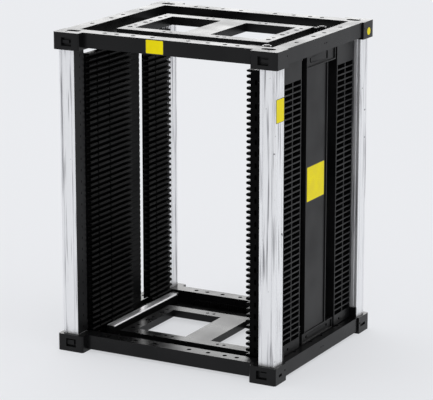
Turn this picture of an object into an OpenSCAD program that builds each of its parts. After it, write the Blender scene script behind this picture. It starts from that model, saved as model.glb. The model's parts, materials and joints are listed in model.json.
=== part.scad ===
// Adjustable magazine rack that carries printed circuit boards in fifty slots.
// Front faces -Y, width runs along X, up is +Z, and the origin is the centre of the footprint on the floor.

/* [Rack] */
// Width over the corner blocks
rack_w = 425; // [400:5:460]
// Depth over the corner blocks
rack_d = 370; // [360:5:420]
// Height over the corner blocks
rack_h = 563; // [463:10:603]

/* [Frame] */
// Width of a corner block along X
block_w = 50; // [48:1:54]
// Depth of a corner block along Y
block_d = 40; // [40:1:44]
// Height of a corner block
block_h = 30; // [30:1:34]
// Width of the rim that runs round each frame
rim_w = 26; // [24:1:28]
// Height of the rim under the corner blocks' level faces
rim_h = 25; // [24:1:26]
// Side of the square aluminium columns
column_w = 30; // [28:1:30]
// Width of the cross bar between the two windows of a deck
deck_bar_w = 50; // [30:5:70]

/* [Slots] */
// Distance from one board slot to the next
slot_pitch = 10; // [10:0.5:12]
// Depth of a slot from the rib tips to its floor
slot_depth = 8; // [6:0.5:9]
// Width of the board that the movable wall is set for
board_w = 317; // [120:1:325]

/* [Drive] */
// Angle of the two lock levers away from locked
lock_angle = 0; // [0:5:90]

/* [Hidden] */
$fn = 48;
eps = 0.01;

// Colours
black_moulding = [0.13, 0.13, 0.14];
black_panel = [0.10, 0.10, 0.11];
bright_aluminium = [0.80, 0.81, 0.83];
steel = [0.70, 0.70, 0.72];
bush_yellow = [0.72, 0.62, 0.36];

// Frame levels and edges
half_w = rack_w / 2;
half_d = rack_d / 2;
front_recess = 14;                      // beam face behind the block face
side_recess = 3;
beam_front_y = half_d - front_recess;
beam_inner_y = half_d - block_d;        // inner edge of the front and back rims
beam_side_x = half_w - side_recess;
beam_inner_x = beam_side_x - rim_w;
foot_gap = block_h - rim_h;             // rims clear the floor by this much
top_rim_h = rim_h + 1;
top_rim_z = rack_h - top_rim_h;
top_block_z = rack_h - block_h;
wall = 3;

// Columns stand in pockets of the corner blocks
column_side_inset = 6;
column_front_inset = 8;
pocket_depth = 8;
pocket_gap = 0.15;
column_z0 = block_h - pocket_depth;
column_z1 = rack_h - column_z0;
column_x = half_w - column_side_inset - column_w / 2;
column_y = half_d - column_front_inset - column_w / 2;
screw_r = 4;
screw_core_r = 4.1;

// Decks
deck_half_w = beam_inner_x - 38.5;
deck_half_d = beam_inner_y - 57;
base_deck_z = 18;
top_deck_z = rack_h - 4;
top_deck_h = 15;
floor_t = 2.5;
side_strip_w = 23;
end_strip_d = 23;

// Board walls
web_t = 3;
guide_t = 16;                           // slot floor to the back of a flange
flange_t = 3;
left_root_x = -half_w + 36.5;
right_root_x = left_root_x + board_w;
guide_y0 = -beam_inner_y + 5;
guide_y1 = -guide_y0;
front_guide_end = 39;
back_guide_start = 53.5;
slot_count = floor((top_rim_z - block_h - 6) / slot_pitch);
guide_z0 = block_h - 10.5;
guide_z1 = guide_z0 + slot_count * slot_pitch + 2;
above_rim = block_h + 1;
rib_root = 6.4;                         // rib thickness at the slot floor
rib_tip = 5.2;

// Outer face of the movable wall, measured from its slot floor
panel_in = 27;
panel_out = 54;
panel_h_top = top_rim_z - 2;
plate_t = 3;
plate_z0 = above_rim;
plate_z1 = guide_z1 - plate_t;

// Racks, pinions and their shafts
pinion_teeth = 16;
gear_module = 1.5;
pitch_len = PI * gear_module;
pinion_r = pinion_teeth * gear_module / 2;
rack_pitch_line = 6;
rack_h_teeth = 8;
shaft_r = 4;
shaft_offset = 17;
shaft_x = right_root_x + shaft_offset;
shaft_y = beam_inner_y - rack_pitch_line - pinion_r;
base_gear_z = 9;
top_gear_z = top_rim_z + 3;
backlash = 0.3;
lock_x = right_root_x + 11;
lock_y = beam_inner_y - 41;

// ---------------------------------------------------------------- helpers

// A box centred in X and Y that stands on z
module slab(size, z) {
    translate([-size[0] / 2, -size[1] / 2, z]) cube(size);
}

// Places a shape drawn in the front left quarter in any of the four quarters
module quarter(side_x, side_y) {
    mirror([side_x > 0 ? 1 : 0, 0, 0]) mirror([0, side_y > 0 ? 1 : 0, 0]) children();
}

// Extrudes a profile drawn in X and Z along Y from y0 to y1
module along_y(y0, y1) {
    translate([0, y1, 0]) rotate([90, 0, 0]) linear_extrude(y1 - y0) children();
}

// Extrudes a profile drawn in Y and Z along X from x0 to x1
module along_x(x0, x1) {
    translate([x0, 0, 0]) rotate([90, 0, 90]) linear_extrude(x1 - x0) children();
}

// A slot with round ends, long along X and open along Z
module oval_hole(length, width, height) {
    run = length / 2 - width / 2;
    translate([-run, -width / 2, 0]) cube([2 * run, width, height]);
    for (x = [-run, run]) translate([x, 0, 0]) cylinder(r = width / 2, h = height);
}

// ---------------------------------------------------------------- corner blocks

// Plan of a corner block with its upright edges cut back
module block_plan() {
    cut = 2.5;
    polygon([
        [cut, 0], [block_w - cut, 0], [block_w, cut], [block_w, block_d],
        [0, block_d], [0, cut]
    ]);
}

// Recess in the front face of a block, with a raised pad inside
module face_recess(z0, pad_h) {
    recess_w = 20;
    recess_h = 14.5;
    recess_x = 16;
    translate([recess_x, -eps, z0]) difference() {
        cube([recess_w, 6, recess_h]);
        translate([-eps, 3, recess_h / 2 - pad_h / 2]) cube([recess_w * 0.72, 4, pad_h]);
    }
}

module column_pocket(z0, z1) {
    translate([
        column_side_inset - pocket_gap, column_front_inset - pocket_gap, z0
    ]) cube([column_w + 2 * pocket_gap, column_w + 2 * pocket_gap, z1 - z0]);
}

// Base block: the foot of the rack, with the column pocket on top
module base_corner(side_x, side_y) {
    head_r = 8;
    head_depth = 9;
    axis = [half_w - column_x, half_d - column_y];
    side_slot = side_y > 0 ? 20 : 11;
    color(black_moulding) quarter(side_x, side_y) translate([-half_w, -half_d, 0]) {
        difference() {
            linear_extrude(block_h) block_plan();
            column_pocket(column_z0, block_h + 1);
            face_recess(8.5, 8);
            translate([axis[0], axis[1], -1]) cylinder(r = head_r, h = head_depth + 1);
            translate([axis[0], axis[1], -1]) cylinder(r = screw_r + 0.3, h = block_h);
            translate([-eps, 14, 12]) cube([3, side_slot, 5]);
            translate([-eps, 36, 19]) rotate([0, 90, 0]) cylinder(r = 1.8, h = 3);
        }
        // Stop against the column's inner face: rooted in the block, its back edge rests on the side rim
        stop_y = column_front_inset + column_w + pocket_gap;
        stop_d = 3.8;
        stop_h = 18;
        root_h = 4;
        translate([column_side_inset, stop_y, block_h - root_h])
            cube([column_w, block_d - stop_y, stop_h + root_h]);
        translate([column_side_inset, stop_y, block_h]) cube([column_w, stop_d, stop_h]);
    }
}

// Top block: oval pocket over the column screw
module top_corner(side_x, side_y) {
    axis = [half_w - column_x, half_d - column_y];
    oval_depth = 10;
    color(black_moulding) quarter(side_x, side_y) translate([-half_w, -half_d, top_block_z]) {
        difference() {
            linear_extrude(block_h) block_plan();
            column_pocket(-1, pocket_depth);
            face_recess(7, 5);
            translate([axis[0] + 6.5, axis[1], block_h - oval_depth]) oval_hole(26, 13.4, oval_depth + 1);
            translate([axis[0], axis[1], -1]) cylinder(r = screw_r + 0.3, h = block_h);
            translate([axis[0], 10, block_h - 5]) cylinder(r = 2.2, h = 6);
            translate([-eps, 36, 19]) rotate([0, 90, 0]) cylinder(r = 1.3, h = 2);
        }
    }
}

// ---------------------------------------------------------------- columns

// Plan of a column: two fine grooves in each face and a core for the end screws
module column_plan() {
    half = column_w / 2;
    groove_w = 1.6;
    groove_d = 1.2;
    edge = 0.8;
    difference() {
        polygon([
            [-half + edge, -half], [half - edge, -half], [half, -half + edge], [half, half - edge],
            [half - edge, half], [-half + edge, half], [-half, half - edge], [-half, -half + edge]
        ]);
        for (turn = [0, 90, 180, 270], place = [-0.29, 0.29]) rotate(turn) translate([place * column_w, -half])
            polygon([[-groove_w / 2, -eps], [groove_w / 2, -eps], [groove_w / 4, groove_d], [-groove_w / 4, groove_d]]);
        circle(r = screw_core_r);
    }
}

module column(side_x, side_y) {
    color(bright_aluminium) translate([side_x * column_x, side_y * column_y, column_z0])
        linear_extrude(column_z1 - column_z0) column_plan();
}

// One cap screw along Z: head below, hexagon socket in the head
module cap_screw(head_r, head_h, shank_l) {
    difference() {
        union() {
            cylinder(r = head_r, h = head_h);
            translate([0, 0, head_h - eps]) cylinder(r = screw_r, h = shank_l);
        }
        translate([0, 0, -eps]) cylinder(r = 3.4, h = 4, $fn = 6);
    }
}

module column_screws() {
    head_h = 6;
    color(steel) for (side_x = [-1, 1], side_y = [-1, 1]) translate([side_x * column_x, side_y * column_y, 0]) {
        translate([0, 0, 9 - head_h]) cap_screw(7, head_h, 38);
        translate([0, 0, rack_h - 10 + head_h]) mirror([0, 0, 1]) cap_screw(6.4, head_h, 34);
    }
}

// ---------------------------------------------------------------- beams

// Moulded channel, open below: top flange over two side walls
module beam_profile(depth, height) {
    polygon([
        [0, 0], [wall, 0], [wall, height - wall], [depth - wall, height - wall],
        [depth - wall, 0], [depth, 0], [depth, height], [0, height]
    ]);
}

// Beam along X with its outer face at y = 0 and its body towards +Y
module long_beam(half_len, depth, height, holes) {
    rib_pitch = 54;
    rib_w = 2;
    hole_r = 4;
    ribs = floor((half_len - rib_w) / rib_pitch);
    difference() {
        union() {
            along_x(-half_len, half_len) beam_profile(depth, height);
            for (i = [-ribs : ribs]) translate([i * rib_pitch - rib_w / 2, wall - eps, 4])
                cube([rib_w, depth - 2 * wall + 2 * eps, height - 5]);
        }
        for (x = holes) translate([x, depth / 2, height - wall - 1]) cylinder(r = hole_r, h = wall + 2);
    }
}

front_holes = [for (side = [-1, 1], x = [34, 71, 103, 126]) side * x];
side_holes = [for (side = [-1, 1], y = [20, 84]) side * y];
front_beam_half = half_w - block_w;
front_beam_depth = beam_front_y - beam_inner_y;

module front_beam(side_y, z, height) {
    color(black_moulding) mirror([0, side_y > 0 ? 1 : 0, 0]) translate([0, -beam_front_y, z])
        long_beam(front_beam_half, front_beam_depth, height, front_holes);
}

module side_beam(side_x, z, height) {
    pin_r = 1.4;
    color(black_moulding) mirror([side_x > 0 ? 1 : 0, 0, 0]) difference() {
        translate([-beam_side_x, 0, z]) rotate([0, 0, 90]) mirror([0, 1, 0])
            long_beam(beam_inner_y, rim_w, height, side_holes);
        for (y = [-4, 4]) translate([-beam_side_x - 1, y, z + height / 2]) rotate([0, 90, 0])
            cylinder(r = pin_r, h = wall);
    }
}

// ---------------------------------------------------------------- decks

window_x0 = deck_bar_w / 2;
window_x1 = deck_half_w - side_strip_w;
window_y = deck_half_d - end_strip_d;

// Both windows of a deck as cutters
module deck_windows(z0, z1) {
    for (side = [-1, 1]) translate([side > 0 ? window_x0 : -window_x1, -window_y, z0])
        cube([window_x1 - window_x0, 2 * window_y, z1 - z0]);
}

// Pockets that hollow the deck from below and leave a skin of one wall
module deck_pockets(z0, z1) {
    for (side = [-1, 1]) {
        translate([side > 0 ? window_x1 + wall : -deck_half_w + wall, -window_y, z0])
            cube([side_strip_w - 2 * wall, 2 * window_y, z1 - z0]);
        translate([-window_x1, side > 0 ? window_y + wall : -deck_half_d + wall, z0])
            cube([2 * window_x1, end_strip_d - 2 * wall, z1 - z0]);
    }
    translate([-window_x0 + wall, -window_y, z0]) cube([deck_bar_w - 2 * wall, 2 * window_y, z1 - z0]);
}

// Three pairs of a large and a small hole along each side strip
module deck_holes(z) {
    strip_x = deck_half_w - side_strip_w / 2;
    for (side = [-1, 1], y = [-52, 0, 52]) {
        translate([side * strip_x, y - 10, z - wall - 1]) cylinder(r = 4.6, h = wall + 2);
        translate([side * strip_x, y + 9, z - wall - 1]) cylinder(r = 3.2, h = wall + 2);
    }
    for (side_x = [-1, 1], side_y = [-1, 1], x = [45, 58])
        translate([side_x * x, side_y * (deck_half_d - end_strip_d / 2), z - wall - 1])
            cylinder(r = 3, h = wall + 2);
}

module base_deck() {
    color(black_moulding) difference() {
        union() {
            slab([2 * beam_inner_x, 2 * beam_inner_y, floor_t], foot_gap);
            slab([2 * deck_half_w, 2 * deck_half_d, base_deck_z - foot_gap], foot_gap);
        }
        deck_windows(0, base_deck_z + 1);
        deck_pockets(0, base_deck_z - wall);
        deck_holes(base_deck_z);
    }
}

module top_deck() {
    z0 = top_deck_z - top_deck_h;
    color(black_moulding) difference() {
        union() {
            slab([2 * beam_inner_x, 2 * deck_half_d, floor_t], z0);
            slab([2 * deck_half_w, 2 * deck_half_d, top_deck_h], z0);
        }
        deck_windows(z0 - 1, top_deck_z + 1);
        deck_pockets(z0 - 1, top_deck_z - wall);
        deck_holes(top_deck_z);
    }
}

// ---------------------------------------------------------------- racks and pinions

rack_x0 = left_root_x + 55;
rack_x1 = beam_inner_x;

// Teeth stand towards +Y, with one tooth centred on x = 0
module rack_plan() {
    addendum = 0.9 * gear_module;
    dedendum = 1.25 * gear_module;
    tip = pitch_len / 4 - backlash / 2 - addendum * tan(20);
    root = pitch_len / 4 - backlash / 2 + dedendum * tan(20);
    low = rack_pitch_line - dedendum;
    high = rack_pitch_line + addendum;
    first = ceil((rack_x0 + root) / pitch_len);
    last = floor((rack_x1 - root) / pitch_len);
    polygon(concat(
        [[rack_x1, 0], [rack_x0, 0], [rack_x0, low]],
        [for (i = [first : last], corner = [[-root, low], [-tip, high], [tip, high], [root, low]])
            [i * pitch_len + corner[0], corner[1]]],
        [[rack_x1, low]]
    ));
}

module toothed_rack(side_y, z) {
    color(black_panel) mirror([0, side_y > 0 ? 1 : 0, 0]) translate([0, -beam_inner_y, z - 0.5])
        linear_extrude(rack_h_teeth + 1) rack_plan();
}

// Half of a tooth's angle at radius r, for an involute flank of 20 degrees
base_r = pinion_r * cos(20);
function involute(angle) = tan(angle) * 180 / PI - angle;
function half_tooth(r) =
    90 / pinion_teeth + involute(20) - involute(acos(min(1, base_r / r)))
    - backlash / 2 / pinion_r * 180 / PI;

// Plan of a pinion, with the gap between two teeth on -Y
module pinion_plan() {
    tip_r = pinion_r + 0.93 * gear_module;
    root_r = pinion_r - 1.3 * gear_module;
    step = 360 / pinion_teeth;
    radii = [root_r, base_r, pinion_r, (pinion_r + tip_r) / 2, tip_r];
    polygon([
        for (i = [0 : pinion_teeth - 1], side = [-1, 1], k = [0 : len(radii) - 1])
            let (r = side < 0 ? radii[k] : radii[len(radii) - 1 - k],
                 angle = -90 + (i + 0.5) * step + side * half_tooth(r))
            [r * cos(angle), r * sin(angle)]
    ]);
}

// Pinion turned so that it meshes wherever the wall stands; hub_z is the far end of its hub
module pinion(side_y, gear_z, hub_z) {
    turn = side_y * shaft_x / pinion_r * 180 / PI + (side_y > 0 ? 180 : 0);
    hub_r = 6.5;
    hub_low = min(hub_z, gear_z + 1);
    hub_high = max(hub_z, gear_z + rack_h_teeth - 1);
    bore_z = min(hub_low, gear_z) - 1;
    color(bush_yellow) translate([shaft_x, side_y * shaft_y, 0]) difference() {
        union() {
            translate([0, 0, gear_z]) rotate([0, 0, turn]) linear_extrude(rack_h_teeth) pinion_plan();
            translate([0, 0, hub_low]) cylinder(r = hub_r, h = hub_high - hub_low);
        }
        translate([0, 0, bore_z]) cylinder(r = shaft_r, h = max(hub_high, gear_z + rack_h_teeth) + 1 - bore_z);
    }
}

// Shaft with a hexagon socket in its top end, which stays under the lock lever's sweep
module shaft(side_y) {
    z0 = base_gear_z - 0.5;
    z1 = top_gear_z + rack_h_teeth + 1;
    color(steel) translate([shaft_x, side_y * shaft_y, z0]) difference() {
        cylinder(r = shaft_r, h = z1 - z0);
        translate([0, 0, z1 - z0 - 6]) cylinder(r = 2.9, h = 7, $fn = 6);
    }
}

module shaft_bushes() {
    flange_h = 2;
    color(bush_yellow) for (side_y = [-1, 1]) translate([shaft_x, side_y * shaft_y, 0]) difference() {
        union() {
            for (z = [plate_z0, plate_z1]) translate([0, 0, z]) cylinder(r = 6, h = plate_t);
            translate([0, 0, plate_z0 + plate_t]) cylinder(r = 8, h = flange_h);
            translate([0, 0, plate_z1 - flange_h]) cylinder(r = 8, h = flange_h);
        }
        translate([0, 0, plate_z0 - 1]) cylinder(r = shaft_r + 0.05, h = plate_z1);
    }
}

// ---------------------------------------------------------------- board guides

// Ribs and the web behind them, drawn in X and Z with the slot floor at x = 0
module guide_comb() {
    bow = [60, 0, -60];
    tip_x = slot_depth - rib_tip / 2;
    polygon(concat(
        [[web_t, guide_z0], [web_t, guide_z1]],
        [[-slot_depth + 2, guide_z1]],
        [for (i = [slot_count : -1 : 0]) let (z = guide_z0 + 1 + i * slot_pitch) for (p = concat(
            i == slot_count ? [] : [[0, z + rib_root / 2]],
            i == slot_count ? [] : [[-tip_x, z + rib_tip / 2]],
            [for (a = bow) if (i < slot_count || a < 60) [-tip_x - rib_tip / 2 * cos(a), z + rib_tip / 2 * sin(a)]],
            i == 0 ? [] : [[-tip_x, z - rib_tip / 2]],
            i == 0 ? [] : [[0, z - rib_root / 2]]
        )) if (p[1] > guide_z0) p],
        [[-slot_depth + 2, guide_z0]]
    ));
}

// One slotted panel, ribs towards -X, slot floor at x = 0. Breaks are upright gaps in the ribs, and
// plain is the stretch without ribs. The outer wall stands at the rack's face, the inner one at inner_y
module guide_panel(y0, y1, breaks, plain, inner_y) {
    break_w = 3;
    oval_pitch = 2 * slot_pitch;
    outer_y = abs(y0) > abs(y1) ? y0 : y1 - flange_t;
    mid_z0 = plate_z0 + plate_t + 2;
    mid_z1 = plate_z1 - 2;
    stiffener_d = 8;
    cut_h = guide_z1 - guide_z0 + 2;
    difference() {
        along_y(y0, y1) guide_comb();
        for (y = breaks) translate([-slot_depth - 1, y - break_w / 2, guide_z0 - 1])
            cube([slot_depth + 0.5, break_w, cut_h]);
        translate([-slot_depth - 1, plain[0], guide_z0 - 1]) cube([slot_depth + 0.5, plain[1] - plain[0], cut_h]);
    }
    difference() {
        translate([web_t - eps, outer_y, above_rim]) cube([guide_t - web_t, flange_t, guide_z1 - above_rim]);
        for (z = [above_rim + slot_pitch : oval_pitch : guide_z1 - slot_pitch])
            translate([guide_t * 0.62, outer_y - 1, z]) rotate([-90, 90, 0]) oval_hole(9, 4, flange_t + 2);
    }
    translate([web_t - eps, inner_y, mid_z0]) cube([guide_t - web_t, flange_t, mid_z1 - mid_z0]);
    for (y = breaks) translate([web_t - eps, y - 1, mid_z0]) cube([stiffener_d, 2, mid_z1 - mid_z0]);
}

front_breaks = [guide_y0 + 25, guide_y0 + 65];
front_plain_start = front_guide_end - 39;
back_breaks = [back_guide_start + 31.5];
back_plain_end = back_guide_start + 6.5;
back_stiffener_y = back_guide_start + 23;   // set back, so that the gap between the guides is clear

module front_guide(side_x, root_x) {
    color(black_panel) translate([root_x, 0, 0]) mirror([side_x > 0 ? 0 : 1, 0, 0])
        guide_panel(guide_y0, front_guide_end, front_breaks, [front_plain_start, front_guide_end + 1],
            front_guide_end - flange_t);
}

// The back guide's foot is cut away beside the gap
module back_guide(side_x, root_x) {
    cut_d = 14.5;
    cut_z = block_h + 5;
    color(black_panel) translate([root_x, 0, 0]) mirror([side_x > 0 ? 0 : 1, 0, 0]) difference() {
        guide_panel(back_guide_start, guide_y1, back_breaks, [back_guide_start - 1, back_plain_end],
            back_stiffener_y);
        translate([-slot_depth - 1, back_guide_start - 1, guide_z0 - 1])
            cube([slot_depth + web_t + 2, cut_d + 1, cut_z - guide_z0 + 1]);
    }
}

// ---------------------------------------------------------------- left wall fixings

rail_y0 = -95;
rail_y1 = 132;
rail_inner_x = left_root_x + slot_depth + 16;
rail_top = block_h - 3;
trench_floor = foot_gap + floor_t;

// Rail along the foot of the left wall: a tongue under the guides and a ledge beside them
module left_foot_rail() {
    x0 = -beam_inner_x;
    step_x = left_root_x + slot_depth + 0.2;
    color(bright_aluminium) along_y(rail_y0, rail_y1) polygon([
        [x0, trench_floor], [rail_inner_x, trench_floor], [rail_inner_x, rail_top - 2],
        [rail_inner_x - 2, rail_top], [step_x, rail_top], [step_x, guide_z0], [x0, guide_z0]
    ]);
}

// Rounded black caps on both ends of the rail
module left_rail_caps() {
    step_x = left_root_x + slot_depth + 0.2;
    r = (rail_inner_x - step_x) / 2;
    cap_h = rail_top - trench_floor;
    color(black_moulding) for (end = [rail_y0, rail_y1]) translate([step_x + r, end, trench_floor])
        intersection() {
            cylinder(r = r, h = cap_h);
            translate([-r, end < 0 ? -r : 0, 0]) cube([2 * r, r, cap_h]);
        }
}

// Rail that hangs the left guides from the top left beam
module left_head_rail() {
    x0 = left_root_x - guide_t;
    color(black_moulding) along_y(rail_y0, rail_y1 - 20) polygon([
        [x0, guide_z1], [-beam_inner_x + 10, guide_z1], [-beam_inner_x + 10, guide_z1 + plate_t],
        [-beam_inner_x, guide_z1 + plate_t], [-beam_inner_x, top_rim_z], [-beam_inner_x - 4, top_rim_z],
        [-beam_inner_x - 4, guide_z1 + plate_t], [x0, guide_z1 + plate_t]
    ]);
}

// ---------------------------------------------------------------- outer face of the movable wall

panel_half = 33;
front_panel_y = -93;
back_panel_y = 109;
foot_h = 19;
fin_t = 2.6;

// Grid panel: plain foot and head with a ladder of fins and one upright rib between
module grid_panel(y_mid) {
    z0 = above_rim;
    z1 = panel_h_top;
    fin_z0 = z0 + foot_h;
    cells = floor((z1 - 28 - fin_z0) / slot_pitch);
    rib = 3;
    cell_w = panel_half - rib * 1.5;
    depth = panel_out - panel_in;
    color(black_panel) translate([right_root_x + panel_in, y_mid, 0]) difference() {
        translate([0, -panel_half, z0]) cube([depth, 2 * panel_half, z1 - z0]);
        for (i = [0 : cells - 1], side = [-1, 1])
            translate([-1, side > 0 ? rib / 2 : -rib / 2 - cell_w, fin_z0 + i * slot_pitch])
                cube([depth + 2, cell_w, slot_pitch - fin_t]);
        // The foot and head are shells, open towards the guides
        translate([-1, -panel_half + rib, z0 + rib]) cube([depth + 1 - rib, 2 * (panel_half - rib), foot_h - 2 * rib]);
        translate([-1, -panel_half + rib, fin_z0 + cells * slot_pitch + rib - fin_t])
            cube([depth + 1 - rib, 2 * (panel_half - rib), z1 - fin_z0 - cells * slot_pitch - 2 * rib + fin_t]);
        translate([depth - rib - 1, -12, z0 + foot_h * 0.45]) rotate([0, 90, 0]) cylinder(r = 2.6, h = rib + 2);
    }
}

plate_half = 41;
bracket_y1 = 70;
bracket_d = 8;
bracket_hollow = 3;
bracket_x = right_root_x + panel_out - bracket_d;

// Centre plate: flat sheet between two raised edges
module centre_plate() {
    sheet = 2.5;
    edge_w = 3;
    edge_d = 8;
    x1 = right_root_x + panel_out;
    color(black_panel) translate([x1 - edge_d, 0, above_rim + foot_h])
        linear_extrude(panel_h_top - 25 - above_rim - foot_h) polygon([
            [0, -plate_half], [edge_d, -plate_half], [edge_d, -plate_half + edge_w],
            [edge_d - 2, -plate_half + edge_w], [edge_d - 2, plate_half - edge_w], [edge_d, plate_half - edge_w],
            [edge_d, plate_half], [0, plate_half], [0, plate_half - edge_w],
            [edge_d - 2 - sheet, plate_half - edge_w], [edge_d - 2 - sheet, -plate_half + edge_w],
            [0, -plate_half + edge_w]
        ]);
}

// Shallow tray with a raised border and a hollow back, drawn towards +X from x = 0
module bracket_tray(y0, y1, z0, z1) {
    border = 2.5;
    recess = 2;
    inner = [y1 - y0 - 2 * border, z1 - z0 - 2 * border];
    difference() {
        translate([0, y0, z0]) cube([bracket_d, y1 - y0, z1 - z0]);
        translate([bracket_d - recess, y0 + border, z0 + border]) cube([recess + 1, inner[0], inner[1]]);
        translate([-1, y0 + border, z0 + border]) cube([bracket_hollow + 1, inner[0], inner[1]]);
    }
}

module top_bracket() {
    z0 = panel_h_top - 25;
    color(black_panel) translate([bracket_x, 0, 0]) difference() {
        bracket_tray(-plate_half, bracket_y1, z0, panel_h_top);
        for (place = [[-24, 8, 3], [40, 14, 5]]) translate([-1, place[0], z0 + 13])
            rotate([0, 90, 0]) oval_hole(place[1], place[2], 12);
    }
}

module base_bracket() {
    color(black_panel) translate([bracket_x, 0, 0]) difference() {
        bracket_tray(-plate_half - 9, bracket_y1, above_rim, above_rim + foot_h);
        for (y = [-30, 50]) translate([-1, y, above_rim + foot_h / 2]) rotate([0, 90, 0]) cylinder(r = 2.6, h = 10);
    }
}

// Plate that joins guides, panels and brackets at one end of the movable wall
module wall_plate(z, pin_r, arm_x) {
    x0 = right_root_x + web_t;
    x1 = right_root_x + panel_in;
    arm_half = 28;
    y1 = guide_y1 - flange_t;
    color(black_moulding) difference() {
        union() {
            translate([x0, -y1, z]) cube([x1 - x0, 2 * y1, plate_t]);
            translate([x1 - eps, -arm_half, z]) cube([arm_x - x1 + eps, 2 * arm_half, plate_t]);
        }
        for (side = [-1, 1]) translate([shaft_x, side * shaft_y, z - 1]) cylinder(r = 6, h = plate_t + 2);
        if (pin_r > 0) for (side = [-1, 1]) translate([lock_x, side * lock_y, z - 1]) cylinder(r = pin_r, h = plate_t + 2);
    }
}

// ---------------------------------------------------------------- lock levers

lever_z = top_gear_z + rack_h_teeth + 2;
post_r = 3;

// Shouldered posts that stand on the top plate and carry the lock levers
module lock_posts() {
    color(steel) for (side = [-1, 1]) translate([lock_x, side * lock_y, 0]) {
        translate([0, 0, plate_z1]) cylinder(r = post_r, h = lever_z + 8 - plate_z1);
        translate([0, 0, plate_z1 + plate_t]) cylinder(r = 6, h = lever_z - plate_z1 - plate_t - 0.2);
        translate([0, 0, lever_z + 7.2]) cylinder(r = 5, h = 1.2);
    }
}

// Lever with a round hub; locked it points away from the columns, along -X
module lock_lever(side_y) {
    hub_r = 8;
    arm_l = 28;
    lever_h = 7;
    color(black_moulding) translate([lock_x, side_y * lock_y, lever_z]) rotate([0, 0, -side_y * lock_angle])
        difference() {
            union() {
                cylinder(r = hub_r, h = lever_h);
                translate([-arm_l, -4.5, 0]) cube([arm_l, 9, lever_h - 2]);
                translate([-arm_l, 0, 0]) cylinder(r = 4.5, h = lever_h - 2);
            }
            translate([0, 0, -1]) cylinder(r = post_r + 0.05, h = lever_h + 2);
        }
}

// ---------------------------------------------------------------- assembly

base_corner(-1, -1);  // base_front_left_corner
base_corner(1, -1);  // base_front_right_corner
base_corner(-1, 1);  // base_back_left_corner
base_corner(1, 1);  // base_back_right_corner
top_corner(-1, -1);  // top_front_left_corner
top_corner(1, -1);  // top_front_right_corner
top_corner(-1, 1);  // top_back_left_corner
top_corner(1, 1);  // top_back_right_corner
column(-1, -1);  // front_left_column
column(1, -1);  // front_right_column
column(-1, 1);  // back_left_column
column(1, 1);  // back_right_column
front_beam(-1, foot_gap, rim_h);  // base_front_beam
front_beam(1, foot_gap, rim_h);  // base_back_beam
side_beam(-1, foot_gap, rim_h);  // base_left_beam
side_beam(1, foot_gap, rim_h);  // base_right_beam
front_beam(-1, top_rim_z, top_rim_h);  // top_front_beam
front_beam(1, top_rim_z, top_rim_h);  // top_back_beam
side_beam(-1, top_rim_z, top_rim_h);  // top_left_beam
side_beam(1, top_rim_z, top_rim_h);  // top_right_beam
base_deck();
top_deck();
toothed_rack(-1, base_gear_z);  // base_front_rack
toothed_rack(1, base_gear_z);  // base_back_rack
toothed_rack(-1, top_gear_z);  // top_front_rack
toothed_rack(1, top_gear_z);  // top_back_rack
column_screws();
front_guide(-1, left_root_x);  // left_front_guide
back_guide(-1, left_root_x);  // left_back_guide
left_foot_rail();
left_rail_caps();
left_head_rail();
front_guide(1, right_root_x);  // right_front_guide
back_guide(1, right_root_x);  // right_back_guide
grid_panel(front_panel_y);  // right_front_panel
grid_panel(back_panel_y);  // right_back_panel
centre_plate();
top_bracket();
base_bracket();
wall_plate(plate_z1, post_r, bracket_x + bracket_hollow);  // wall_top_plate
wall_plate(plate_z0, 0, bracket_x);  // wall_base_plate
shaft_bushes();
lock_posts();
shaft(-1);  // front_shaft
pinion(-1, base_gear_z, plate_z0 - 0.3);  // front_base_pinion
pinion(-1, top_gear_z, plate_z1 + plate_t + 0.3);  // front_top_pinion
shaft(1);  // back_shaft
pinion(1, base_gear_z, plate_z0 - 0.3);  // back_base_pinion
pinion(1, top_gear_z, plate_z1 + plate_t + 0.3);  // back_top_pinion
lock_lever(-1);  // front_lock_lever
lock_lever(1);  // back_lock_lever
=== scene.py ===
"""Looks of the circuit board magazine rack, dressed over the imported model."""

import json
import math

import bmesh
import bpy
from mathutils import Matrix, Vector


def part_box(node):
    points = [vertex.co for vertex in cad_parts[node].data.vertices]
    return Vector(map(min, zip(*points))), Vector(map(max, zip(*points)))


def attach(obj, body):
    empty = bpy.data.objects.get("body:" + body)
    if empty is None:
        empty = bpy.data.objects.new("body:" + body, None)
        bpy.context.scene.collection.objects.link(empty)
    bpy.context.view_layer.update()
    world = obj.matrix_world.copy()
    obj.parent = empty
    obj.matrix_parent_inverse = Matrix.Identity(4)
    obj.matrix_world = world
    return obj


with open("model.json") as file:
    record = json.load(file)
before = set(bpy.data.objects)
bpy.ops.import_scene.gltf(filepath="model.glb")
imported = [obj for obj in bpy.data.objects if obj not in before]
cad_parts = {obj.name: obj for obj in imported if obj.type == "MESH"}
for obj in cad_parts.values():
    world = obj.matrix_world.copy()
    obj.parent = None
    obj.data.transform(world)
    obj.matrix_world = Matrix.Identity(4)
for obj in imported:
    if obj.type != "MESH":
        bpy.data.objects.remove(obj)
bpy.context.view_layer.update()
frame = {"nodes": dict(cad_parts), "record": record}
MM = 0.001

# ---------------------------------------------------------------- view

CAMERA_AZIMUTH = 28.413
CAMERA_ELEVATION = 14.174
CAMERA_DISTANCE = 3.88007
CAMERA_LENS = 184.5
AIM_RIGHT_OF_CENTRE = 1.7 * MM
AIM_ABOVE_FLOOR = 254.0 * MM


def direction(azimuth, elevation):
    """Unit vector towards a place round the rack. Azimuth 0 is the front, 90 the right."""
    a, e = math.radians(azimuth), math.radians(elevation)
    return Vector((math.sin(a) * math.cos(e), -math.cos(a) * math.cos(e), math.sin(e)))


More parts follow.
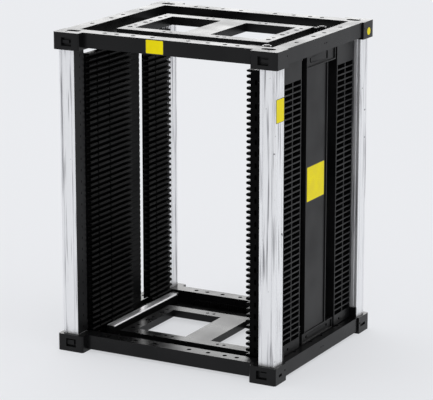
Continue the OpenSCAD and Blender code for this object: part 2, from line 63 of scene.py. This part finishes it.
def make_camera():
    data = bpy.data.cameras.new("camera")
    data.lens = CAMERA_LENS
    camera = bpy.data.objects.new("camera", data)
    bpy.context.scene.collection.objects.link(camera)
    aim = Vector((AIM_RIGHT_OF_CENTRE, 0, AIM_ABOVE_FLOOR))
    back = direction(CAMERA_AZIMUTH, CAMERA_ELEVATION)
    camera.location = aim + CAMERA_DISTANCE * back
    camera.rotation_euler = back.to_track_quat("Z", "Y").to_euler()
    bpy.context.scene.camera = camera


# ---------------------------------------------------------------- node helpers


class Nodes:
    """A node tree with a few short ways to fill it."""

    def __init__(self, tree):
        self.tree = tree

    def add(self, kind, **settings):
        node = self.tree.nodes.new("ShaderNode" + kind)
        for name, value in settings.items():
            setattr(node, name, value)
        return node

    def link(self, source, target):
        self.tree.links.new(source, target)

    def noise(self, coordinates, scale, detail=3.0, stretch=(1, 1, 1)):
        mapping = self.add("Mapping")
        mapping.inputs["Scale"].default_value = stretch
        texture = self.add("TexNoise")
        texture.inputs["Scale"].default_value = scale
        texture.inputs["Detail"].default_value = detail
        self.link(coordinates, mapping.inputs["Vector"])
        self.link(mapping.outputs["Vector"], texture.inputs["Vector"])
        return texture.outputs["Fac"]

    def spread(self, value, low, high, start=0.35, end=0.65):
        """Maps a noise's middle range to low..high."""
        node = self.add("MapRange")
        for name, number in (("From Min", start), ("From Max", end), ("To Min", low), ("To Max", high)):
            node.inputs[name].default_value = number
        self.link(value, node.inputs["Value"])
        return node.outputs["Result"]

    def ramp(self, value, stops):
        node = self.add("ValToRGB")
        elements = node.color_ramp.elements
        for element, (place, colour) in zip(elements, stops):
            element.position = place
            element.color = (*colour, 1)
        for place, colour in stops[2:]:
            elements.new(place).color = (*colour, 1)
        self.link(value, node.inputs["Fac"])
        return node.outputs["Color"]

    def bump(self, value, strength, distance):
        node = self.add("Bump")
        node.inputs["Strength"].default_value = strength
        node.inputs["Distance"].default_value = distance
        self.link(value, node.inputs["Height"])
        return node.outputs["Normal"]


def new_material(name):
    material = bpy.data.materials.new(name)
    material.use_nodes = True
    nodes = Nodes(material.node_tree)
    shader = material.node_tree.nodes["Principled BSDF"]
    place = nodes.add("TexCoord").outputs["Object"]
    return material, nodes, shader, place


# ---------------------------------------------------------------- materials


def moulded_plastic(name, dark, light, rough, gloss):
    """Black moulded plastic: faint cloudiness, a fine moulded grain, and roughness that drifts."""
    material, nodes, shader, place = new_material(name)
    clouds = nodes.noise(place, 14, 4)
    grain = nodes.noise(place, 900, 2)
    nodes.link(nodes.ramp(clouds, [(0.35, dark), (0.65, light)]), shader.inputs["Base Color"])
    nodes.link(nodes.spread(clouds, rough[0], rough[1]), shader.inputs["Roughness"])
    nodes.link(nodes.bump(grain, 0.12, 0.00012), shader.inputs["Normal"])
    shader.inputs["Specular IOR Level"].default_value = gloss
    return material


def bright_aluminium():
    """Anodised extrusion: long drawn lines along Z and a few small dark marks."""
    material, nodes, shader, place = new_material("bright_aluminium")
    lines = nodes.noise(place, 420, 3, (1, 1, 0.012))
    streaks = nodes.noise(place, 210, 2, (1, 1, 0.035))
    marks = nodes.noise(place, 95, 1)
    tone = nodes.ramp(streaks, [(0.30, (0.30, 0.30, 0.32)), (0.44, (0.93, 0.935, 0.95))])
    spots = nodes.ramp(marks, [(0.20, (0.25, 0.25, 0.26)), (0.24, (1.0, 1.0, 1.0))])
    both = nodes.add("Mix", data_type="RGBA", blend_type="MULTIPLY")
    both.inputs["Factor"].default_value = 1.0
    nodes.link(tone, both.inputs["A"])
    nodes.link(spots, both.inputs["B"])
    nodes.link(both.outputs["Result"], shader.inputs["Base Color"])
    nodes.link(nodes.spread(lines, 0.30, 0.46), shader.inputs["Roughness"])
    nodes.link(nodes.bump(lines, 0.10, 0.0001), shader.inputs["Normal"])
    shader.inputs["Metallic"].default_value = 0.7
    return material


def zinc_steel():
    material, nodes, shader, place = new_material("zinc_steel")
    clouds = nodes.noise(place, 160, 3)
    nodes.link(nodes.ramp(clouds, [(0.35, (0.50, 0.50, 0.52)), (0.65, (0.66, 0.66, 0.68))]),
               shader.inputs["Base Color"])
    nodes.link(nodes.spread(clouds, 0.25, 0.42), shader.inputs["Roughness"])
    shader.inputs["Metallic"].default_value = 1.0
    return material


def rail_steel_painted_shade_sides():
    """Metal on its upper face and black on its upright sides; the black sides are painted shade, chosen by
    which way each face points.
    """
    material, nodes, shader, place = new_material("rail_steel_painted_shade_sides")
    scuffs = nodes.noise(place, 120, 4, (1, 0.08, 1))
    facing = nodes.add("SeparateXYZ")
    nodes.link(nodes.add("TexCoord").outputs["Normal"], facing.inputs[0])
    # Faces pointing up keep the metal; all other faces get the painted shade colour below.
    unshaded_upward_mask = nodes.spread(facing.outputs["Z"], 0.0, 1.0, 0.4, 0.6)
    metal = nodes.ramp(scuffs, [(0.32, (0.42, 0.42, 0.43)), (0.60, (0.86, 0.86, 0.87))])
    tone = nodes.add("Mix", data_type="RGBA")
    # Painted shade: near-black colour for the rail's upright sides, in place of their shadow.
    tone.inputs["A"].default_value = (0.006, 0.006, 0.0065, 1)
    nodes.link(unshaded_upward_mask, tone.inputs["Factor"])
    nodes.link(metal, tone.inputs["B"])
    nodes.link(tone.outputs["Result"], shader.inputs["Base Color"])
    nodes.link(nodes.spread(scuffs, 0.30, 0.50), shader.inputs["Roughness"])
    nodes.link(nodes.spread(unshaded_upward_mask, 0.0, 0.6, 0.0, 1.0), shader.inputs["Metallic"])
    shader.inputs["Specular IOR Level"].default_value = 0.1
    return material


def gear_plastic():
    material, nodes, shader, place = new_material("gear_plastic")
    clouds = nodes.noise(place, 60, 3)
    grain = nodes.noise(place, 900, 2)
    nodes.link(nodes.ramp(clouds, [(0.35, (0.50, 0.44, 0.30)), (0.65, (0.58, 0.52, 0.37))]),
               shader.inputs["Base Color"])
    nodes.link(nodes.spread(clouds, 0.42, 0.55), shader.inputs["Roughness"])
    nodes.link(nodes.bump(grain, 0.1, 0.0001), shader.inputs["Normal"])
    return material


def label_film(name, dark, light, gloss):
    """Printed vinyl film with a slightly uneven tone and surface."""
    material, nodes, shader, place = new_material(name)
    clouds = nodes.noise(place, 55, 3)
    ripple = nodes.noise(place, 260, 2)
    nodes.link(nodes.ramp(clouds, [(0.3, dark), (0.7, light)]), shader.inputs["Base Color"])
    nodes.link(nodes.spread(clouds, 0.34, 0.48), shader.inputs["Roughness"])
    nodes.link(nodes.bump(ripple, 0.15, 0.0001), shader.inputs["Normal"])
    shader.inputs["Specular IOR Level"].default_value = gloss
    return material


MATERIALS = {
    "black_moulding": moulded_plastic(
        "black_moulding", (0.0040, 0.0040, 0.0044), (0.0075, 0.0075, 0.0080), (0.24, 0.36), 0.19),
    "black_panel": moulded_plastic(
        "black_panel", (0.0038, 0.0038, 0.0042), (0.0070, 0.0070, 0.0075), (0.32, 0.46), 0.20),
    "aluminium": bright_aluminium(),
    "steel": zinc_steel(),
    "gear_plastic": gear_plastic(),
    "yellow_label": label_film("yellow_label", (0.88, 0.73, 0.0), (0.96, 0.82, 0.0), 0.12),
}
# The slotted guides are the same plastic in a darker, less glossy copy; its darker colour is painted shade
# for the guides' shadowed ribs
PAINTED_SHADE_PLASTIC = moulded_plastic(
    "black_guide_painted_shade", (0.0008, 0.0008, 0.0009), (0.0022, 0.0022, 0.0024), (0.30, 0.46), 0.035)
DARK_STEEL = moulded_plastic("dark_steel", (0.010, 0.010, 0.011), (0.020, 0.020, 0.021), (0.30, 0.42), 0.2)
SPECIAL_SKINS = {
    "left_front_guide": PAINTED_SHADE_PLASTIC, "left_back_guide": PAINTED_SHADE_PLASTIC,
    "right_front_guide": PAINTED_SHADE_PLASTIC, "right_back_guide": PAINTED_SHADE_PLASTIC,
    "left_foot_rail": rail_steel_painted_shade_sides(), "lock_posts": DARK_STEEL,
}
COVER_SKIN = moulded_plastic("cover_sheet", (0.009, 0.009, 0.0095), (0.016, 0.016, 0.017), (0.34, 0.46), 0.12)
LABEL_BORDER = label_film("label_border", (0.010, 0.010, 0.010), (0.020, 0.019, 0.017), 0.5)

# ---------------------------------------------------------------- CAD nodes

EDGE_ROUND = {
    "corner": 0.9 * MM, "beam": 0.6 * MM, "deck": 0.6 * MM, "column": 0.3 * MM, "bracket": 0.5 * MM,
    "plate": 0.5 * MM, "lever": 0.7 * MM, "panel": 0.35 * MM, "rail": 0.5 * MM,
}
SHARP_ANGLE = math.radians(35)


def soften_edges(node, width):
    """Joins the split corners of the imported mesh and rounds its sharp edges."""
    weld = node.modifiers.new("weld", "WELD")
    weld.merge_threshold = 0.00001
    bevel = node.modifiers.new("edges", "BEVEL")
    bevel.width = width
    bevel.segments = 2
    bevel.limit_method = "ANGLE"
    bevel.angle_limit = SHARP_ANGLE
    bevel.harden_normals = True


def dress_cad_nodes():
    slots = {part["node"]: part["material_slot"] for part in frame["record"]["subparts"]}
    for name, node in frame["nodes"].items():
        node.data.materials.clear()
        node.data.materials.append(SPECIAL_SKINS.get(name, MATERIALS[slots[name]]))
        for word, width in EDGE_ROUND.items():
            if word in name and "screws" not in name:
                soften_edges(node, width)
                break


# ---------------------------------------------------------------- labels

FILM = 0.25 * MM
LABEL_CORNER = 2.0 * MM
BEAM_LABEL_X = -22.5 * MM
BEAM_LABEL_WIDTH = 35 * MM
COLUMN_LABEL_HEIGHT = 464 * MM
COLUMN_LABEL_TALL = 40 * MM
PLATE_LABEL_HEIGHT = 310 * MM
PLATE_LABEL_SIZE = (68 * MM, 62 * MM)
PLATE_RIM = 2 * MM
DOT_RADIUS = 6.5 * MM
DOT_FROM_BACK = 19 * MM
DOT_FROM_TOP = 18 * MM


def rounded_outline(width, height, radius, steps=6):
    """Points round a rectangle with round corners, centred on the origin."""
    points = []
    for turn, (sx, sy) in enumerate([(1, 1), (-1, 1), (-1, -1), (1, -1)]):
        centre = (sx * (width / 2 - radius), sy * (height / 2 - radius))
        for step in range(steps + 1):
            angle = math.radians(90 * (turn + step / steps))
            points.append((centre[0] + radius * math.cos(angle), centre[1] + radius * math.sin(angle)))
    return points


def film_piece(name, outline, centre, across, up, lift, material, body):
    """A thin film on a face: outline is laid along across and up, and lift is its outer side."""
    mesh = bpy.data.meshes.new(name)
    form = bmesh.new()
    normal = across.cross(up)
    rings = []
    for inset, height in ((1.0, 0.0), (1.0, 0.7 * lift), (0.992, lift)):
        rings.append([form.verts.new(centre + inset * (u * across + v * up) + height * normal)
                      for u, v in outline])
    count = len(outline)
    for low, high in zip(rings, rings[1:]):
        for i in range(count):
            form.faces.new((low[i], low[(i + 1) % count], high[(i + 1) % count], high[i]))
    form.faces.new(rings[-1])
    form.faces.new(list(reversed(rings[0])))
    form.to_mesh(mesh)
    form.free()
    mesh.materials.append(material)
    piece = bpy.data.objects.new(name, mesh)
    bpy.context.scene.collection.objects.link(piece)
    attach(piece, body)
    return piece


def bordered_label(name, centre, across, up, size, body, border=1.2 * MM):
    """A plain yellow plate on a slightly larger dark one."""
    width, height = size
    film_piece(name + "_border", rounded_outline(width, height, LABEL_CORNER), centre, across, up,
               FILM, LABEL_BORDER, body)
    film_piece(name, rounded_outline(width - 2 * border, height - 2 * border, LABEL_CORNER - border / 2),
               centre, across, up, 2 * FILM, MATERIALS["yellow_label"], body)


def make_labels():
    right, up, back = Vector((1, 0, 0)), Vector((0, 0, 1)), Vector((0, 1, 0))
    low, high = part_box("top_front_beam")
    bordered_label("front_beam_label", Vector((BEAM_LABEL_X, low.y, (low.z + high.z) / 2)), right, up,
                   (BEAM_LABEL_WIDTH, high.z - low.z - 1 * MM), "frame")
    low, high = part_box("front_right_column")
    bordered_label("column_label", Vector((high.x, (low.y + high.y) / 2, COLUMN_LABEL_HEIGHT)), back, up,
                   (high.y - low.y - 1.8 * MM, COLUMN_LABEL_TALL), "frame", 0.8 * MM)
    low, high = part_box("centre_plate")
    sheet_x = high.x - PLATE_RIM
    bordered_label("centre_plate_label", Vector((sheet_x, 0, PLATE_LABEL_HEIGHT)), back, up,
                   PLATE_LABEL_SIZE, "movable_wall")
    low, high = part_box("top_back_right_corner")
    dot = [(DOT_RADIUS * math.cos(math.radians(a)), DOT_RADIUS * math.sin(math.radians(a)))
           for a in range(0, 360, 10)]
    film_piece("corner_dot", dot, Vector((high.x, high.y - DOT_FROM_BACK, high.z - DOT_FROM_TOP)), back, up,
               FILM, MATERIALS["yellow_label"], "frame")


# ---------------------------------------------------------------- column cover

COVER_SHEET = 1.1 * MM
COVER_FOOT = 31 * MM
COVER_HEAD = 532 * MM
COVER_SLOT = (2.2 * MM, 4.6 * MM)
COVER_SLOT_PITCH = 20 * MM
COVER_SLOT_SHARE = 0.56
COVER_SLOT_FILM = 0.15 * MM


def make_column_cover():
    """A black sheet on the column's inner face, which carries the wall's front flange."""
    low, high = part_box("front_left_column")
    width = high.y - low.y - 0.4 * MM
    back, up = Vector((0, 1, 0)), Vector((0, 0, 1))
    middle = Vector((high.x, (low.y + high.y) / 2, (COVER_FOOT + COVER_HEAD) / 2))
    film_piece("column_cover", rounded_outline(width, COVER_HEAD - COVER_FOOT, 1.5 * MM), middle, back, up,
               COVER_SHEET, COVER_SKIN, "frame")
    # Each slot is a darker film patch: painted shade standing in for the shadow inside the slot opening.
    count = int((COVER_HEAD - COVER_FOOT) / COVER_SLOT_PITCH)
    for i in range(count):
        height = COVER_FOOT + (i + 0.5) * COVER_SLOT_PITCH
        place = Vector((high.x + COVER_SHEET, low.y + COVER_SLOT_SHARE * width, height))
        film_piece("cover_slot_painted_shade_%02d" % i, rounded_outline(*COVER_SLOT, 1.0 * MM), place, back, up,
                   COVER_SLOT_FILM, PAINTED_SHADE_PLASTIC, "frame")


# ---------------------------------------------------------------- light and floor

BACKDROP = (0.850, 0.862, 0.890)
FLOOR_SIZE = 60.0
FLOOR_GLOW = 0.62
DOME = 0.98
FRONT_GLOSS = 0.42
BACK_GLOSS = 4.0
GLOSS_FROM = (-0.46, 0.85, 0.26)
SUN_STRENGTH = 0.55
SUN_SPREAD = math.radians(50)
SUN_AZIMUTH = 215
SUN_ELEVATION = 66


def make_floor():
    mesh = bpy.data.meshes.new("floor")
    half = FLOOR_SIZE / 2
    mesh.from_pydata([(-half, -half, 0), (half, -half, 0), (half, half, 0), (-half, half, 0)], [],
                     [(0, 1, 2, 3)])
    floor = bpy.data.objects.new("floor", mesh)
    bpy.context.scene.collection.objects.link(floor)
    material, nodes, shader, place = new_material("floor")
    clouds = nodes.noise(place, 0.6, 2)
    pale = tuple((1 - FLOOR_GLOW) * c for c in BACKDROP)
    tint = tuple(0.985 * c for c in pale)
    nodes.link(nodes.ramp(clouds, [(0.3, tint), (0.7, pale)]), shader.inputs["Base Color"])
    shader.inputs["Emission Color"].default_value = (*BACKDROP, 1)
    shader.inputs["Emission Strength"].default_value = FLOOR_GLOW
    shader.inputs["Roughness"].default_value = 0.95
    shader.inputs["Specular IOR Level"].default_value = 0.0
    mesh.materials.append(material)


def make_world():
    """Even dome for plain surfaces; a brighter band low behind the rack that only gloss sees."""
    world = bpy.data.worlds.new("studio")
    world.use_nodes = True
    bpy.context.scene.world = world
    nodes = Nodes(world.node_tree)
    world.node_tree.nodes.clear()
    place = nodes.add("TexCoord").outputs["Generated"]
    toward = nodes.add("VectorMath", operation="DOT_PRODUCT")
    nodes.link(place, toward.inputs[0])
    toward.inputs[1].default_value = GLOSS_FROM
    gloss = nodes.spread(toward.outputs["Value"], FRONT_GLOSS, BACK_GLOSS, 0.45, 0.95)
    rays = nodes.add("LightPath")
    dome = nodes.add("Background")
    dome.inputs["Strength"].default_value = DOME
    shine = nodes.add("Background")
    nodes.link(gloss, shine.inputs["Strength"])
    seen = nodes.add("Background")
    seen.inputs["Color"].default_value = (*BACKDROP, 1)
    first = nodes.add("MixShader")
    nodes.link(rays.outputs["Is Glossy Ray"], first.inputs[0])
    nodes.link(dome.outputs[0], first.inputs[1])
    nodes.link(shine.outputs[0], first.inputs[2])
    second = nodes.add("MixShader")
    nodes.link(rays.outputs["Is Camera Ray"], second.inputs[0])
    nodes.link(first.outputs[0], second.inputs[1])
    nodes.link(seen.outputs[0], second.inputs[2])
    nodes.link(second.outputs[0], nodes.add("OutputWorld").inputs["Surface"])


def make_sun():
    data = bpy.data.lights.new("sun", "SUN")
    data.energy = SUN_STRENGTH
    data.angle = SUN_SPREAD
    sun = bpy.data.objects.new("sun", data)
    bpy.context.scene.collection.objects.link(sun)
    sun.rotation_euler = direction(SUN_AZIMUTH, SUN_ELEVATION).to_track_quat("Z", "Y").to_euler()


# ---------------------------------------------------------------- scene

make_camera()
dress_cad_nodes()
make_labels()
make_column_cover()
make_floor()
make_world()
make_sun()
bpy.context.scene.view_settings.view_transform = "Standard"
